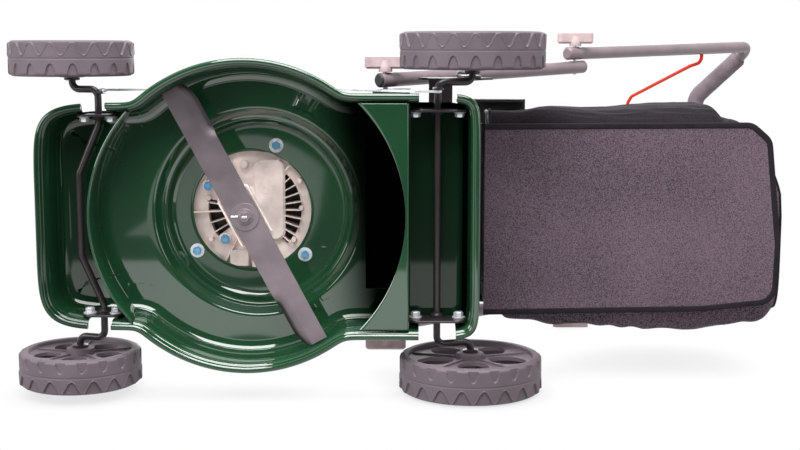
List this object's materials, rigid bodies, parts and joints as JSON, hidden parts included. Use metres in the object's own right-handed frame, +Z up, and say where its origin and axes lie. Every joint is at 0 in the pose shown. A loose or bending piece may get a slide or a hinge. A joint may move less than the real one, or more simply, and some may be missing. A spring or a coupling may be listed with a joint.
{
  "type": "petrol lawn mower",
  "caption": "Walk-behind petrol lawn mower with a pressed steel deck, cranked axles with a height lever, a folding tube handle and a lift-off rear grass bag.",
  "frame": {"origin": "on the ground under the middle of the whole mower, standing on its wheels", "axes": "+X forward, from the handle to the front of the deck; +Y to the mower's left; +Z up"},
  "size_m": [1.2532, 0.512, 1.1009],
  "materials": {
    "green_enamel": "gloss",
    "zinc_plate": "satin",
    "black_plastic": "matte",
    "blade_steel": "satin",
    "cast_aluminium": "matte",
    "muffler_steel": "satin",
    "black_steel": "satin",
    "wheel_plastic": "matte",
    "knob_plastic": "matte",
    "grip_foam": "matte",
    "red_rod": "gloss",
    "bag_cloth": "matte"
  },
  "bodies": {
    "chassis": {"deck_shell": "green_enamel", "front_baffle": "green_enamel", "rear_panel": "green_enamel", "discharge_chute": "green_enamel", "axle_bracket_front_left": "zinc_plate", "axle_bracket_front_right": "zinc_plate", "axle_bracket_rear_left": "zinc_plate", "axle_bracket_rear_right": "zinc_plate", "handle_bracket_left": "black_steel", "handle_bracket_right": "black_steel", "height_quadrant": "black_steel", "engine_bolt_1": "zinc_plate", "engine_bolt_2": "zinc_plate", "engine_bolt_3": "zinc_plate", "crankcase": "cast_aluminium", "cylinder": "cast_aluminium", "cylinder_head": "cast_aluminium", "rocker_cover": "cast_aluminium", "muffler": "muffler_steel", "muffler_guard": "black_steel", "carburettor": "cast_aluminium", "air_filter_box": "black_plastic", "fuel_tank": "black_plastic", "blower_housing": "black_plastic", "starter_cover": "black_plastic", "spark_plug": "zinc_plate", "spark_plug_cap": "black_plastic"},
    "crank_group": {"crankshaft": "zinc_plate", "blade": "blade_steel", "blade_carrier": "cast_aluminium", "blade_washer": "blade_steel", "blade_bolt": "zinc_plate", "flywheel_fan": "cast_aluminium"},
    "rear_axle_group": {"rear_axle": "black_steel", "height_lever": "black_steel"},
    "front_axle_group": {"front_axle": "black_steel"},
    "link": {"height_link": "zinc_plate"},
    "wheel_fl": {"wheel_front_left": "wheel_plastic"},
    "wheel_fr": {"wheel_front_right": "wheel_plastic"},
    "wheel_rl": {"wheel_rear_left": "wheel_plastic"},
    "wheel_rr": {"wheel_rear_right": "wheel_plastic"},
    "lower_handle": {"lower_handle_left": "black_steel", "lower_handle_right": "black_steel"},
    "upper_handle_group": {"upper_handle": "black_steel", "handle_grip": "grip_foam"},
    "bail": {"bail_bar": "red_rod"},
    "foot_knob_l": {"foot_knob_left": "knob_plastic"},
    "foot_knob_r": {"foot_knob_right": "knob_plastic"},
    "elbow_knob_l": {"elbow_knob_left": "knob_plastic"},
    "elbow_knob_r": {"elbow_knob_right": "knob_plastic"},
    "flap": {"rear_flap": "black_plastic", "flap_hinge_rod": "zinc_plate"},
    "grass_bag": {"bag_cloth": "bag_cloth", "bag_base": "black_plastic", "bag_frame": "black_steel", "bag_handle": "black_plastic"},
    "grip": {"starter_grip": "black_plastic"},
    "pulley": {"recoil_pulley": "black_plastic"},
    "fuel_cap_body": {"fuel_cap": "black_plastic"},
    "dipstick_body": {"oil_dipstick": "black_plastic"}
  },
  "joints": [
    {"name": "crankshaft_spin", "type": "hinge", "parent": "chassis", "child": "crank_group", "pos_m": [0.29639, 0, 0.055], "axis": [0, 0, 1], "continuous": true},
    {"name": "height_adjust", "type": "hinge", "parent": "chassis", "child": "rear_axle_group", "pos_m": [0.02839, 0, 0.085], "axis": [0, 1, 0], "range_deg": [-28, 21]},
    {"name": "front_axle_turn", "type": "hinge", "parent": "chassis", "child": "front_axle_group", "pos_m": [0.50139, 0, 0.075], "axis": [0, 1, 0], "range_deg": [-28, 37]},
    {"name": "link_turn", "type": "hinge", "parent": "rear_axle_group", "child": "link", "pos_m": [0.02839, 0.1745, 0.046], "axis": [0, 1, 0], "range_deg": [-21, 28]},
    {"name": "wheel_fl_spin", "type": "hinge", "parent": "front_axle_group", "child": "wheel_fl", "pos_m": [0.53989, 0.219, 0.08675], "axis": [0, 1, 0], "continuous": true},
    {"name": "wheel_fr_spin", "type": "hinge", "parent": "front_axle_group", "child": "wheel_fr", "pos_m": [0.53989, -0.219, 0.08675], "axis": [0, 1, 0], "continuous": true},
    {"name": "wheel_rl_spin", "type": "hinge", "parent": "rear_axle_group", "child": "wheel_rl", "pos_m": [-0.02061, 0.23, 0.10311], "axis": [0, 1, 0], "continuous": true},
    {"name": "wheel_rr_spin", "type": "hinge", "parent": "rear_axle_group", "child": "wheel_rr", "pos_m": [-0.02061, -0.23, 0.10311], "axis": [0, 1, 0], "continuous": true},
    {"name": "handle_base_fold", "type": "hinge", "parent": "chassis", "child": "lower_handle", "pos_m": [0.10439, 0, 0.215], "axis": [0, 1, 0], "range_deg": [0, 115]},
    {"name": "handle_elbow_fold", "type": "hinge", "parent": "lower_handle", "child": "upper_handle_group", "pos_m": [-0.21561, 0, 0.549], "axis": [0, -1, 0], "range_deg": [-120, 0]},
    {"name": "bail_pull", "type": "hinge", "parent": "upper_handle_group", "child": "bail", "pos_m": [-0.50471, 0, 0.8647], "axis": [0, -1, 0], "range_deg": [0, 33], "stiffness_Nm_per_rad": 1.5, "springref_deg": -34.38},
    {"name": "foot_knob_l_turn", "type": "hinge", "parent": "chassis", "child": "foot_knob_l", "pos_m": [0.10439, 0.198, 0.215], "axis": [0, 1, 0], "continuous": true},
    {"name": "foot_knob_r_turn", "type": "hinge", "parent": "chassis", "child": "foot_knob_r", "pos_m": [0.10439, -0.198, 0.215], "axis": [0, 1, 0], "continuous": true},
    {"name": "elbow_knob_l_turn", "type": "hinge", "parent": "lower_handle", "child": "elbow_knob_l", "pos_m": [-0.21561, 0.236, 0.549], "axis": [0, 1, 0], "continuous": true},
    {"name": "elbow_knob_r_turn", "type": "hinge", "parent": "lower_handle", "child": "elbow_knob_r", "pos_m": [-0.21561, -0.236, 0.549], "axis": [0, 1, 0], "continuous": true},
    {"name": "flap_lift", "type": "hinge", "parent": "chassis", "child": "flap", "pos_m": [-0.00361, 0, 0.2695], "axis": [0, 1, 0], "range_deg": [0, 50]},
    {"name": "bag_off", "type": "slide", "parent": "chassis", "child": "grass_bag", "axis": [-1, 0, 0], "range_m": [0, 0.45]},
    {"name": "starter_pull", "type": "slide", "parent": "chassis", "child": "grip", "axis": [-1, 0, 0], "range_m": [0, 0.11], "stiffness_N_per_m": 60, "springref_m": -0.05},
    {"name": "recoil_turn", "type": "hinge", "parent": "chassis", "child": "pulley", "pos_m": [0.29639, 0, 0.356], "axis": [0, 0, 1], "range_deg": [-5, 180]},
    {"name": "fuel_cap_turn", "type": "hinge", "parent": "chassis", "child": "fuel_cap_body", "pos_m": [0.23639, 0.134, 0.236], "axis": [0, 0, 1], "continuous": true},
    {"name": "dipstick_turn", "type": "hinge", "parent": "chassis", "child": "dipstick_body", "pos_m": [0.25339, -0.0895, 0.168], "axis": [0, 0, 1], "continuous": true}
  ],
  "couplings": [
    {"joint": "front_axle_turn", "follows": "height_adjust", "ratio": -1.3},
    {"joint": "link_turn", "follows": "height_adjust", "ratio": -1},
    {"joint": "recoil_turn", "follows": "starter_pull", "rad_per_m": 27.397}
  ]
}
